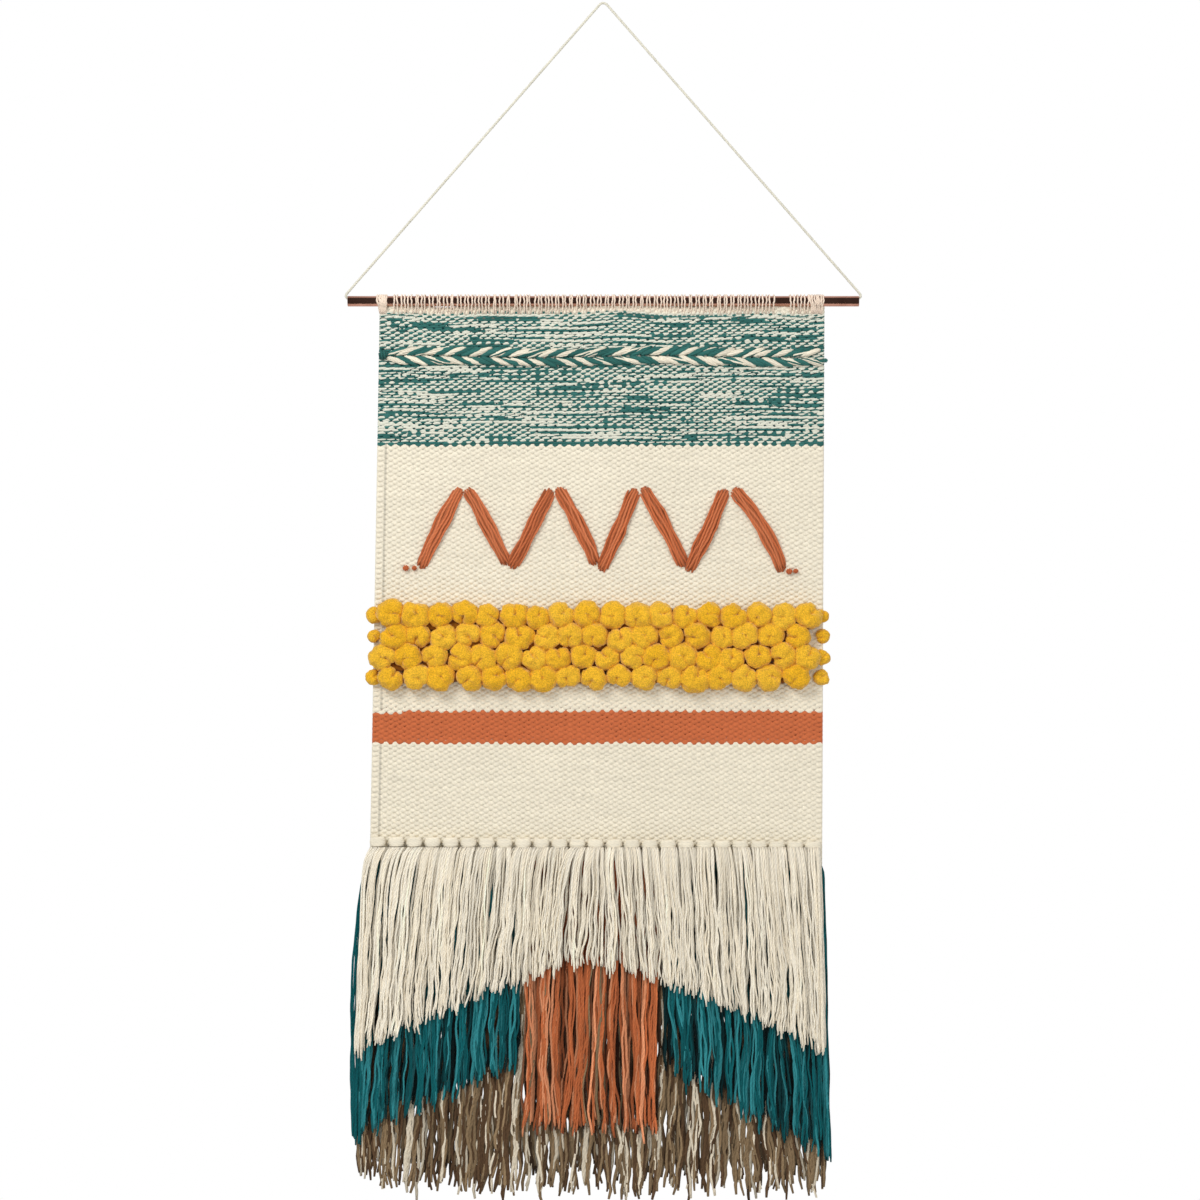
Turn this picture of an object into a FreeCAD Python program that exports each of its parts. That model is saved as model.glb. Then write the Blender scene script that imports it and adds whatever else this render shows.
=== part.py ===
# Tapestry wall hanging: a woven panel looped over a metal tube that hangs from a cord, with three
# tiers of knotted fringe. Millimetres, +Z up, front towards -Y, wall towards +Y.
# The origin is the point of the wall hook that carries the cord, under the top of the cord's bend.
import FreeCAD, Part
import math
import os

V = FreeCAD.Vector
X_AXIS = V(1, 0, 0)
Y_AXIS = V(0, 1, 0)

# Clearances
MOVING_GAP = 0.4          # between pieces that move against each other
YARN_GAP = 0.1            # between a yarn and the weave around it

# Tube
TUBE_LENGTH = 511.0
TUBE_RADIUS = 5.25
TUBE_WALL = 1.0
TUBE_EDGE_ROUND = 0.3
TUBE_Z = -297.0
BORE_RADIUS = TUBE_RADIUS - TUBE_WALL

# Cord: one loop that runs through the tube and over the hook, knotted inside the tube
CORD_DIAMETER = 2.5
CORD_RADIUS = CORD_DIAMETER / 2
HOOK_BEND_RADIUS = 4.25   # centre line over the hook
LIP_BEND_RADIUS = 2.5     # centre line over the tube's lip
CORD_IN_BORE_Z = 2.7      # the cord's run inside the tube, above the tube's axis
LIP_CLEARANCE_X = 0.9     # from the tube's end to the corner of the cord's route outside it
LIP_STEP = V(1.5, 0, 3.3) # from that corner up to the one where the leg starts
HOOK_CORNER_X = 2.15      # the route's two corners over the hook
KNOT_HALF_LENGTH = 4.0
KNOT_RADIUS = 2.3
KNOT_ROUND = 0.6
KNOT_DROP = 1.1           # the knot's centre lies lower than the cord's centre line, inside the bore
RUN_SHARE = 0.45          # part of the shorter run that a bend's arc may use

# Warp
LOOP_YARN_RADIUS = 0.9
LOOP_LEG_Y = 1.0          # the two legs of a loop enter the heading side by side
WARP_RADIUS = 0.6
WARP_COUNT = 95
BUNDLE_PITCH = 2.0
LEFT_BUNDLE_COUNT = 6
RIGHT_BUNDLE_COUNT = 5
BARE_GAP_LOOPS = range(86, 90)   # warps whose loops are missing, near the right end

# Woven panel, a tall trapezium that widens a little downwards
PANEL_TOP_Z = -306.0
PANEL_BOTTOM_Z = -900.0
LEFT_EDGE_TOP_X = -223.5
LEFT_EDGE_BOTTOM_X = -234.0
RIGHT_EDGE_TOP_X = 221.0
RIGHT_EDGE_BOTTOM_X = 218.5
PANEL_TOP_WIDTH = RIGHT_EDGE_TOP_X - LEFT_EDGE_TOP_X
PANEL_HALF_THICKNESS = 1.8
PANEL_FRONT_Y = -PANEL_HALF_THICKNESS
SELVEDGE_WALL = 1.2       # weft that wraps round the outermost warp
SELVEDGE_SETBACK = 3.0    # from the last warp of a bundle to the first single warp
BUNDLE_INSET = 2.0        # from the panel's edge to the first warp of a bundle

# Woven bands, from the top edge of one to the top edge of the next
TEAL_TOP_Z = -311.0
CREAM_UPPER_TOP_Z = -441.0
RUST_TOP_Z = -707.0
CREAM_LOWER_TOP_Z = -739.0

# Chevron braid across the teal band
BRAID_CENTRE_Z = -352.5
BRAID_PITCH = 9.4
BRAID_FIRST_X = -206.4
BRAID_COUNT = 45
BRAID_LEAF_LENGTH = 17.0
BRAID_LEAF_WIDTH = 4.8
BRAID_LEAF_DEPTH = 3.2
BRAID_SLANT = 32.0
BRAID_ROW_OFFSET = 6.0
BRAID_KNOT_RADIUS = 4.5

# Zigzag of eight rust floats: lower or upper end first, from left to right
ZIGZAG_ENDS = [
    [(-182.3, -563.7), (-143.8, -484.7)],
    [(-135.3, -484.7), (-96.3, -559.7)],
    [(-91.3, -563.7), (-53.8, -485.7)],
    [(-44.3, -483.7), (-7.3, -559.7)],
    [(-1.3, -566.2), (31.2, -484.7)],
    [(40.7, -483.7), (80.7, -561.7)],
    [(85.7, -567.2), (121.7, -485.7)],
    [(130.7, -484.7), (179.7, -566.2)],
]
ZIGZAG_WIDTH = 10.5
ZIGZAG_DEPTH = 5.5
ZIGZAG_ROUND = 2.4
ZIGZAG_TAILS = [(-197.3, -563.7, 3.0), (-188.8, -563.7, 2.5), (185.7, -567.2, 3.0), (192.2, -566.7, 2.5)]

# Loop pile: four rows of fat curled tufts
PILE_ROWS = [(-211.3, 203.7, 18, -611.0), (-209.0, 192.0, 17, -631.7),
             (-219.3, 203.7, 18, -652.4), (-212.0, 192.0, 17, -673.1)]
PILE_TUFT_HALF_WIDTH = 11.9
PILE_TUFT_HALF_HEIGHT = 10.2
PILE_TUFT_HALF_DEPTH = 12.0
PILE_TUFT_CENTRE_Y = -7.0
PILE_EDGE_REACH = 6.0
PILE_EDGE_HALF_HEIGHT = 6.5
PILE_EDGE_HALF_DEPTH = 1.7

# Fringe: three tiers of 25 tassels, each tassel under its own knot
TASSEL_COUNT = 25
TASSEL_GAP = 0.6
TEAL_LEFT_TASSELS = range(0, 9)
RUST_TASSELS = range(9, 16)
TEAL_RIGHT_TASSELS = range(16, 25)
FRINGE_TIP_LEFT_X = -258.0
FRINGE_TIP_RIGHT_X = 227.0
FULL_SPLAY_Z = -1190.0    # where the fringe has spread to the tip width
KNOT_HALF_WIDTH = 7.4
FRONT_KNOT_Z_LEFT = -836.8
FRONT_KNOT_Z_RIGHT = -841.8
FRONT_KNOT_HALF_HEIGHT = 4.8
FRONT_KNOT_DEPTH = 8.0
FRONT_TASSEL_THICKNESS = 6.0
FRONT_TASSEL_Y = -10.8
FRONT_TASSEL_TOP_Z = -850.0
MIDDLE_KNOT_Z = -861.0
MIDDLE_KNOT_HALF_HEIGHT = 4.8
MIDDLE_KNOT_DEPTH = 5.2
MIDDLE_TASSEL_THICKNESS = 4.8
MIDDLE_TASSEL_Y = -4.9
BACK_KNOT_HALF_HEIGHT = 4.5
BACK_KNOT_HALF_DEPTH = 2.6
BACK_TASSEL_THICKNESS = 5.2
BACK_TASSEL_Y = 0.8
TASSEL_TOP_SHARE = 0.62   # a tassel's width at its knot, as a share of the pitch


def between(start, end, share):
    return start + (end - start) * share


def save(name, solids):
    """Write one sub-part as one STEP file of one or more separate solids."""
    shape = solids[0] if len(solids) == 1 else Part.makeCompound(solids)
    assert shape.isValid(), name
    shape.exportStep("parts/%s.step" % name)
    print("%-24s %3d solids %12.1f mm3" % (name, len(shape.Solids), shape.Volume))


# ---------------------------------------------------------------- cord and tube

def unit(vector):
    return V(vector).normalize()


def rounded_path(points, radii):
    """A wire of straight runs joined by tangent arcs, with one radius per inner point."""
    edges = []
    start = points[0]
    for before, corner, after, radius in zip(points, points[1:], points[2:], radii):
        incoming = unit(corner - before)
        outgoing = unit(after - corner)
        half_turn = incoming.getAngle(outgoing) / 2
        shorter_run = min((corner - before).Length, (after - corner).Length)
        limit = RUN_SHARE * shorter_run / math.tan(half_turn)
        radius = min(radius, limit)
        setback = radius * math.tan(half_turn)
        arc_start = corner - incoming * setback
        arc_end = corner + outgoing * setback
        bisector = unit(outgoing - incoming)
        arc_middle = corner + bisector * (radius / math.cos(half_turn) - radius)
        edges.append(Part.LineSegment(start, arc_start).toShape())
        edges.append(Part.Arc(arc_start, arc_middle, arc_end).toShape())
        print("cord bend radius %.2f mm, turn %.1f degrees" % (radius, math.degrees(2 * half_turn)))
        start = arc_end
    edges.append(Part.LineSegment(start, points[-1]).toShape())
    return Part.Wire(edges)


def swept_tube(path, radius):
    """A solid round tube along a wire."""
    start_edge = path.Edges[0]
    start = start_edge.valueAt(start_edge.FirstParameter)
    direction = start_edge.tangentAt(start_edge.FirstParameter)
    section = Part.Wire(Part.makeCircle(radius, start, direction))
    return path.makePipeShell([section], True, True)


def cord_route():
    """The cord's corner points from the knot's left side, out of the left mouth, over the hook and back."""
    run_z = TUBE_Z + CORD_IN_BORE_Z
    mouth = V(TUBE_LENGTH / 2 + LIP_CLEARANCE_X, 0, run_z)
    right_half = [V(HOOK_CORNER_X, 0, CORD_RADIUS), mouth + LIP_STEP, mouth, V(KNOT_HALF_LENGTH, 0, run_z)]
    left_half = [V(-point.x, 0, point.z) for point in reversed(right_half)]
    return left_half + right_half


def make_cord():
    route = cord_route()
    radii = [LIP_BEND_RADIUS] * 2 + [HOOK_BEND_RADIUS] * 2 + [LIP_BEND_RADIUS] * 2
    path = rounded_path(route, radii)
    cord = swept_tube(path, CORD_RADIUS)
    section_times_length = math.pi * CORD_RADIUS ** 2 * path.Length
    measured = (path.Length, cord.Volume, section_times_length)
    print("cord length %.1f mm, volume %.1f, section x length %.1f" % measured)
    save("hanging_cord", [cord])

    knot_start = V(-KNOT_HALF_LENGTH, 0, route[0].z - KNOT_DROP)
    knot = Part.makeCylinder(KNOT_RADIUS, 2 * KNOT_HALF_LENGTH, knot_start, X_AXIS)
    knot = knot.makeFillet(KNOT_ROUND, [edge for edge in knot.Edges if is_end_circle(edge)])
    save("cord_knot", [knot])


def make_tube():
    start = V(-TUBE_LENGTH / 2, 0, TUBE_Z)
    outside = Part.makeCylinder(TUBE_RADIUS, TUBE_LENGTH, start, X_AXIS)
    outside = outside.makeFillet(TUBE_EDGE_ROUND, [edge for edge in outside.Edges if is_end_circle(edge)])
    bore = Part.makeCylinder(BORE_RADIUS, TUBE_LENGTH, start, X_AXIS)
    save("hanging_tube", [outside.cut(bore).Solids[0]])


def is_end_circle(edge):
    return isinstance(edge.Curve, Part.Circle)


# ---------------------------------------------------------------- panel

def ellipsoid(centre, half_x, half_y, half_z):
    ball = Part.makeSphere(1.0)
    matrix = FreeCAD.Matrix()
    matrix.scale(half_x, half_y, half_z)
    solid = ball.transformGeometry(matrix)
    solid.translate(centre)
    return solid


def left_edge_x(z):
    return between(LEFT_EDGE_TOP_X, LEFT_EDGE_BOTTOM_X, (z - PANEL_TOP_Z) / (PANEL_BOTTOM_Z - PANEL_TOP_Z))


def right_edge_x(z):
    return between(RIGHT_EDGE_TOP_X, RIGHT_EDGE_BOTTOM_X, (z - PANEL_TOP_Z) / (PANEL_BOTTOM_Z - PANEL_TOP_Z))


def plate(top_z, bottom_z, inset, half_thickness):
    """A flat piece of the panel between two heights, set in from both selvedges."""
    corners = [
        V(left_edge_x(top_z) + inset, -half_thickness, top_z),
        V(right_edge_x(top_z) - inset, -half_thickness, top_z),
        V(right_edge_x(bottom_z) - inset, -half_thickness, bottom_z),
        V(left_edge_x(bottom_z) + inset, -half_thickness, bottom_z),
    ]
    outline = Part.makePolygon(corners + corners[:1])
    return Part.Face(outline).extrude(Y_AXIS * (2 * half_thickness))


def weave_band(name, top_z, bottom_z):
    """Weft in front of and behind the warp, closed round the outermost warps: a flat open-ended sleeve."""
    outside = plate(top_z, bottom_z, 0, PANEL_HALF_THICKNESS)
    channel = plate(top_z, bottom_z, SELVEDGE_WALL, WARP_RADIUS + YARN_GAP)
    save(name, [outside.cut(channel).Solids[0]])


def single_warp_offsets():
    """Shares of the panel's width where the single warps lie."""
    first = left_bundle_offsets()[-1] + SELVEDGE_SETBACK / PANEL_TOP_WIDTH
    last = right_bundle_offsets()[-1] - SELVEDGE_SETBACK / PANEL_TOP_WIDTH
    return [between(first, last, i / (WARP_COUNT - 1)) for i in range(WARP_COUNT)]


def left_bundle_offsets():
    return [(BUNDLE_INSET + BUNDLE_PITCH * i) / PANEL_TOP_WIDTH for i in range(LEFT_BUNDLE_COUNT)]


def right_bundle_offsets():
    return [1 - (BUNDLE_INSET + BUNDLE_PITCH * i) / PANEL_TOP_WIDTH for i in range(RIGHT_BUNDLE_COUNT)]


def warp_thread(share):
    """One warp inside the panel, from its top edge to its bottom edge."""
    top = V(between(LEFT_EDGE_TOP_X, RIGHT_EDGE_TOP_X, share), 0, PANEL_TOP_Z)
    bottom = V(between(LEFT_EDGE_BOTTOM_X, RIGHT_EDGE_BOTTOM_X, share), 0, PANEL_BOTTOM_Z)
    run = bottom - top
    return Part.makeCylinder(WARP_RADIUS, run.Length, top, run)


def warp_loop():
    """One warp loop over the tube at x = 0: up the front, round the tube and down the back."""
    wrap_radius = TUBE_RADIUS + MOVING_GAP + LOOP_YARN_RADIUS
    foot_drop = TUBE_Z - PANEL_TOP_Z
    foot_distance = math.hypot(LOOP_LEG_Y, foot_drop)
    angle = math.atan2(LOOP_LEG_Y, foot_drop) + math.acos(wrap_radius / foot_distance)
    side = wrap_radius * math.sin(angle)
    drop = wrap_radius * math.cos(angle)
    front_foot = V(0, -LOOP_LEG_Y, PANEL_TOP_Z)
    front_tangent = V(0, -side, TUBE_Z - drop)
    crown = V(0, 0, TUBE_Z + wrap_radius)
    back_tangent = V(0, side, TUBE_Z - drop)
    back_foot = V(0, LOOP_LEG_Y, PANEL_TOP_Z)
    path = Part.Wire([
        Part.LineSegment(front_foot, front_tangent).toShape(),
        Part.Arc(front_tangent, crown, back_tangent).toShape(),
        Part.LineSegment(back_tangent, back_foot).toShape(),
    ])
    loop = swept_tube(path, LOOP_YARN_RADIUS)
    reach = 4 * TUBE_RADIUS
    above_panel = Part.makeBox(2 * reach, 2 * reach, 2 * reach, V(-reach, -reach, PANEL_TOP_Z))
    return loop.common(above_panel)


def make_warp():
    loop = warp_loop()
    groups = {
        "warp_loops": [o for i, o in enumerate(single_warp_offsets()) if i not in BARE_GAP_LOOPS],
        "warp_bundle_left": left_bundle_offsets(),
        "warp_bundle_right": right_bundle_offsets(),
    }
    for name, shares in groups.items():
        solids = []
        for share in shares:
            x = between(LEFT_EDGE_TOP_X, RIGHT_EDGE_TOP_X, share)
            solids += loop.translated(V(x, 0, 0)).Solids
        save(name, solids)
    save("warp_threads", [warp_thread(share) for share in single_warp_offsets()])
    save("selvedge_warps_left", [warp_thread(share) for share in left_bundle_offsets()])
    save("selvedge_warps_right", [warp_thread(share) for share in right_bundle_offsets()])


def make_weave():
    weave_band("heading_row", PANEL_TOP_Z, TEAL_TOP_Z)
    weave_band("teal_weave", TEAL_TOP_Z, CREAM_UPPER_TOP_Z)
    weave_band("cream_weave_upper", CREAM_UPPER_TOP_Z, RUST_TOP_Z)
    weave_band("rust_weave_stripe", RUST_TOP_Z, CREAM_LOWER_TOP_Z)
    weave_band("cream_weave_lower", CREAM_LOWER_TOP_Z, PANEL_BOTTOM_Z)


# ---------------------------------------------------------------- work on the panel's front

def front_of_panel(solid):
    """The part of a solid that stands in front of the panel."""
    reach = 600.0
    front = Part.makeBox(2 * reach, reach, 2 * reach, V(-reach, PANEL_FRONT_Y - reach, -2 * reach))
    return solid.common(front).Solids[0]


def bead(x, z, half_width, half_height, depth):
    """A rounded knot that lies on the panel's front."""
    return front_of_panel(ellipsoid(V(x, PANEL_FRONT_Y, z), half_width, depth, half_height))


def float_pad(start, end, width, depth, rounding):
    """A bundle of yarn that lies on the panel from start to end, with round ends and a crowned front."""
    length = math.hypot(end[0] - start[0], end[1] - start[1])
    radius = width / 2
    half = length / 2 - radius
    outline = Part.Wire([
        Part.LineSegment(V(-half, 0, -radius), V(half, 0, -radius)).toShape(),
        Part.Arc(V(half, 0, -radius), V(half + radius, 0, 0), V(half, 0, radius)).toShape(),
        Part.LineSegment(V(half, 0, radius), V(-half, 0, radius)).toShape(),
        Part.Arc(V(-half, 0, radius), V(-half - radius, 0, 0), V(-half, 0, -radius)).toShape(),
    ])
    pad = Part.Face(outline).extrude(V(0, -depth, 0))
    front_edges = [edge for edge in pad.Edges if abs(edge.CenterOfMass.y + depth) < YARN_GAP]
    pad = pad.makeFillet(rounding, front_edges)
    slope = math.degrees(math.atan2(end[1] - start[1], end[0] - start[0]))
    pad.rotate(V(0, 0, 0), Y_AXIS, -slope)
    pad.translate(V((start[0] + end[0]) / 2, PANEL_FRONT_Y, (start[1] + end[1]) / 2))
    return pad


def make_braid():
    """Two rows of slanted leaf stitches that form arrowheads pointing left."""
    reach_x = BRAID_LEAF_LENGTH / 2 * math.cos(math.radians(BRAID_SLANT))
    reach_z = BRAID_LEAF_LENGTH / 2 * math.sin(math.radians(BRAID_SLANT))
    for name, side in (("braid_upper_row", 1), ("braid_lower_row", -1)):
        leaves = []
        for i in range(BRAID_COUNT):
            x = BRAID_FIRST_X + BRAID_PITCH * i
            z = BRAID_CENTRE_Z + side * BRAID_ROW_OFFSET
            start = (x - reach_x, z - side * reach_z)
            end = (x + reach_x, z + side * reach_z)
            leaves.append(float_pad(start, end, BRAID_LEAF_WIDTH, BRAID_LEAF_DEPTH, BRAID_LEAF_DEPTH / 2))
        save(name, leaves)
    knots = [
        bead(left_edge_x(BRAID_CENTRE_Z) + BRAID_KNOT_RADIUS, BRAID_CENTRE_Z + 2,
             BRAID_KNOT_RADIUS, BRAID_KNOT_RADIUS, BRAID_LEAF_DEPTH),
        bead(right_edge_x(BRAID_CENTRE_Z) + 1, BRAID_CENTRE_Z - 4, BRAID_KNOT_RADIUS, BRAID_KNOT_RADIUS / 2,
             BRAID_LEAF_DEPTH),
    ]
    save("braid_end_knots", knots)


def make_zigzag():
    for number, (start, end) in enumerate(ZIGZAG_ENDS, 1):
        stroke = float_pad(start, end, ZIGZAG_WIDTH, ZIGZAG_DEPTH, ZIGZAG_ROUND)
        save("zigzag_stroke_%d" % number, [stroke])
    save("zigzag_tails", [bead(x, z, radius, radius, radius) for x, z, radius in ZIGZAG_TAILS])


def make_pile():
    for number, (first_x, last_x, count, z) in enumerate(PILE_ROWS, 1):
        tufts = []
        for i in range(count):
            x = between(first_x, last_x, i / (count - 1))
            centre = V(x, PILE_TUFT_CENTRE_Y, z)
            tuft = ellipsoid(centre, PILE_TUFT_HALF_WIDTH, PILE_TUFT_HALF_DEPTH, PILE_TUFT_HALF_HEIGHT)
            tufts.append(front_of_panel(tuft))
        save("pile_row_%d" % number, tufts)
    row_heights = [row[-1] for row in PILE_ROWS]
    for name, edge_x, side in (("left", left_edge_x, -1), ("right", right_edge_x, 1)):
        edges = [edge_x(z + side * PILE_EDGE_HALF_HEIGHT) for z in row_heights]
        loops = [edge_loop(x, z, side) for x, z in zip(edges, row_heights)]
        save("pile_edge_loops_" + name, loops)


def edge_loop(x, z, side):
    """A pile yarn that turns round the selvedge, outside the panel's edge."""
    loop = ellipsoid(V(x, 0, z), PILE_EDGE_REACH, PILE_EDGE_HALF_DEPTH, PILE_EDGE_HALF_HEIGHT)
    reach = 2 * PILE_EDGE_HALF_HEIGHT
    low_x = x - reach if side < 0 else x
    outside = Part.makeBox(reach, 2 * reach, 2 * reach, V(low_x, -reach, z - reach))
    return loop.common(outside).Solids[0]


# ---------------------------------------------------------------- fringe

def tassel_share(i):
    return (i + 0.5) / TASSEL_COUNT


def root_x(share):
    return between(LEFT_EDGE_BOTTOM_X, RIGHT_EDGE_BOTTOM_X, share)


def tip_x(share):
    return between(FRINGE_TIP_LEFT_X, FRINGE_TIP_RIGHT_X, share)


def front_tip_z(x):
    """The front tier is cut to an arch that is highest a little left of the middle."""
    return -962.0 - 84.0 * (abs(x + 13.0) / 225.0) ** 1.35


def teal_left_tip_z(x):
    return between(-1131.0, -1058.0, (x + 239.0) / 161.0)


def rust_tip_z(x):
    return -1127.0


def teal_right_tip_z(x):
    return between(-1064.0, -1150.0, (x - 60.0) / 155.0)


def back_tip_z(x):
    return -1190.0 + 14.0 * max(0.0, (-x - 150.0) / 100.0)


def tassel(i, y, top_z, thickness, tip_z):
    """One tassel: a splayed flat bundle with a round top, concentric with the line that it swings about."""
    half_pitch = 0.5 / TASSEL_COUNT
    share = tassel_share(i)
    top_half = (root_x(share + half_pitch) - root_x(share - half_pitch)) / 2 * TASSEL_TOP_SHARE
    middle = root_x(share)
    splay = (top_z - tip_z(tip_x(share))) / (top_z - FULL_SPLAY_Z)
    tip_left = between(root_x(share - half_pitch), tip_x(share - half_pitch), splay) + TASSEL_GAP / 2
    tip_right = between(root_x(share + half_pitch), tip_x(share + half_pitch), splay) - TASSEL_GAP / 2
    back_y = y + thickness / 2
    corners = [
        V(middle - top_half, back_y, top_z),
        V(middle + top_half, back_y, top_z),
        V(tip_right, back_y, tip_z(tip_right)),
        V(tip_left, back_y, tip_z(tip_left)),
    ]
    body = Part.Face(Part.makePolygon(corners + corners[:1])).extrude(Y_AXIS * -thickness)
    top = Part.makeCylinder(thickness / 2, 2 * top_half, V(middle - top_half, y, top_z), X_AXIS)
    return body.fuse(top).removeSplitter().Solids[0]


def make_front_fringe():
    knots = []
    for i in range(TASSEL_COUNT):
        share = tassel_share(i)
        z = between(FRONT_KNOT_Z_LEFT, FRONT_KNOT_Z_RIGHT, share)
        knots.append(bead(root_x(share), z, KNOT_HALF_WIDTH, FRONT_KNOT_HALF_HEIGHT, FRONT_KNOT_DEPTH))
    save("front_knots", knots)
    tassels = []
    for i in range(TASSEL_COUNT):
        tassels.append(tassel(i, FRONT_TASSEL_Y, FRONT_TASSEL_TOP_Z, FRONT_TASSEL_THICKNESS, front_tip_z))
    save("front_fringe", tassels)


def make_middle_fringe():
    top_z = MIDDLE_KNOT_Z - MIDDLE_KNOT_HALF_HEIGHT - MOVING_GAP - MIDDLE_TASSEL_THICKNESS / 2
    groups = [
        ("teal", "left", TEAL_LEFT_TASSELS, teal_left_tip_z),
        ("rust", "centre", RUST_TASSELS, rust_tip_z),
        ("teal", "right", TEAL_RIGHT_TASSELS, teal_right_tip_z),
    ]
    for colour, place, numbers, tip_z in groups:
        knots = []
        tassels = []
        for i in numbers:
            x = root_x(tassel_share(i))
            knots.append(bead(x, MIDDLE_KNOT_Z, KNOT_HALF_WIDTH, MIDDLE_KNOT_HALF_HEIGHT, MIDDLE_KNOT_DEPTH))
            tassels.append(tassel(i, MIDDLE_TASSEL_Y, top_z, MIDDLE_TASSEL_THICKNESS, tip_z))
        save("%s_knots_%s" % (colour, place), knots)
        save("%s_fringe_%s" % (colour, place), tassels)
    print("middle fringe swings about z = %.2f" % top_z)


def make_back_fringe():
    knot_z = PANEL_BOTTOM_Z - BACK_KNOT_HALF_HEIGHT
    top_z = PANEL_BOTTOM_Z - 2 * BACK_KNOT_HALF_HEIGHT - MOVING_GAP - BACK_TASSEL_THICKNESS / 2
    knots = []
    tassels = []
    for i in range(TASSEL_COUNT):
        centre = V(root_x(tassel_share(i)), BACK_TASSEL_Y, knot_z)
        knots.append(ellipsoid(centre, KNOT_HALF_WIDTH, BACK_KNOT_HALF_DEPTH, BACK_KNOT_HALF_HEIGHT))
        tassels.append(tassel(i, BACK_TASSEL_Y, top_z, BACK_TASSEL_THICKNESS, back_tip_z))
    save("back_knots", knots)
    save("back_fringe", tassels)
    print("back fringe swings about z = %.2f" % top_z)


os.makedirs("parts", exist_ok=True)
make_cord()
make_tube()
make_warp()
make_weave()
make_braid()
make_zigzag()
make_pile()
make_front_fringe()
make_middle_fringe()
make_back_fringe()
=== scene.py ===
import math

import bpy
import numpy as np
from numpy.random import default_rng
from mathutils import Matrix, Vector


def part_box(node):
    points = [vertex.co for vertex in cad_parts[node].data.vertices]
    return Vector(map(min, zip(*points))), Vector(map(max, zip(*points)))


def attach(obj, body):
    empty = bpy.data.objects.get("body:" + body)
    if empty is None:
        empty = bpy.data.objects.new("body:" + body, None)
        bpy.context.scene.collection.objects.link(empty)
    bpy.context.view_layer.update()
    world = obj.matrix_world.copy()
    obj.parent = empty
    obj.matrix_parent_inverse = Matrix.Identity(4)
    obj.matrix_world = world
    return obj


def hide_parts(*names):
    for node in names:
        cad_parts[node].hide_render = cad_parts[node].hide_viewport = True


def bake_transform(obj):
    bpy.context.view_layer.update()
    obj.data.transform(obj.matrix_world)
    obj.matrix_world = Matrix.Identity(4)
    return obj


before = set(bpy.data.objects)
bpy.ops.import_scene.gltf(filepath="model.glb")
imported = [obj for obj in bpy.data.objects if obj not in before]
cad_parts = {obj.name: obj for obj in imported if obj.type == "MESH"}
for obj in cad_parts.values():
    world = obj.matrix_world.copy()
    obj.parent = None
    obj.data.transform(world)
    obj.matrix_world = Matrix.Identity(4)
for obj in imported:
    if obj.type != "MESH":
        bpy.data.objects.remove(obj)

MM = 0.001
scene = bpy.context.scene
FRONT = np.array([0.0, -1.0, 0.0])
TURN = 2 * math.pi
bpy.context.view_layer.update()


def linear(red, green, blue):
    """A display colour, 0 to 255, as linear light."""
    value = np.array([red, green, blue]) / 255
    return np.where(value <= 0.04045, value / 12.92, ((value + 0.055) / 1.055) ** 2.4)


CREAM = linear(237, 228, 207)
LOOP_CREAM = linear(245, 224, 204)
CREAM_LIT = linear(250, 241, 222)
CREAM_LIT_WARM = linear(247, 236, 214)
CREAM_COOL = linear(222, 222, 206)
TEAL = linear(46, 98, 92)
TEAL_LIGHT = linear(58, 116, 110)
# painted shade: the warp sheet's colour in the gaps of the teal band's weave
TEAL_GAP_SHADE = linear(14, 54, 54)
RUST = linear(200, 108, 66)
# painted shade: the warp sheet's colour in the gaps of the rust band's weave
RUST_GAP_SHADE = linear(128, 55, 26)
YELLOW = linear(228, 171, 30)
YELLOW_PALE = linear(236, 186, 56)
# painted shade: the darker yellow of the yarn running between and under the tufts
YELLOW_PAINTED_SHADE = linear(126, 74, 14)
TAUPE = linear(134, 112, 84)
BROWN = linear(88, 66, 46)
BEIGE = linear(216, 204, 182)
FRINGE_TEAL = linear(10, 92, 97)
FRINGE_TEAL_LIGHT = linear(50, 134, 140)
FRINGE_RUST = linear(188, 104, 62)
FRINGE_RUST_LIGHT = linear(224, 148, 106)
FLOAT_RUST = linear(196, 106, 64)
FLOAT_RUST_LIGHT = linear(210, 124, 82)
COTTON = linear(226, 222, 206)
# painted shade: the cord's colour inside the turns of its knot
COTTON_PAINTED_SHADE = linear(196, 184, 160)


# -------- camera, lights and floor

CAMERA_PLACE = (-0.0033, -2.833, -0.5957)
CAMERA_LENS = 85
SENSOR = 36
KEY_PLACE = (-1.1, -1.7, 0.75)
KEY_TARGET = (0.0, 0.0, -0.62)
KEY_SIZE = 0.9
KEY_POWER = 32
FILL_PLACE = (1.5, -2.1, -0.3)
FILL_SIZE = 1.6
FILL_POWER = 14
RIM_PLACE = (0.9, 1.9, 0.4)
RIM_POWER = 26
WORLD_LIGHT = 0.56
DARK_ROOM = 0.08  # what polished metal mirrors of the room behind the camera
DARK_UNTIL, LIGHT_FROM = -0.3, 0.05  # where that room ends, as the y of the mirrored direction
WHITE = (1, 1, 1, 1)
FLOOR_Z = -1.35
FLOOR_RADIUS = 0.62


def set_inputs(node, **values):
    """Sets a node's inputs by name, where _ stands for a space."""
    for name, value in values.items():
        node.inputs[name.replace("_", " ")].default_value = value
    return node


def add_node(tree, kind, **values):
    return set_inputs(tree.nodes.new("ShaderNode" + kind), **values)


def add_material(name):
    material = bpy.data.materials.new(name)
    material.use_nodes = True
    return material, material.node_tree, material.node_tree.nodes["Principled BSDF"]


def connect(source, output, target, socket):
    source.id_data.links.new(source.outputs[output], target.inputs[socket])


def add_object(name, data):
    thing = bpy.data.objects.new(name, data)
    scene.collection.objects.link(thing)
    return thing


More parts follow.
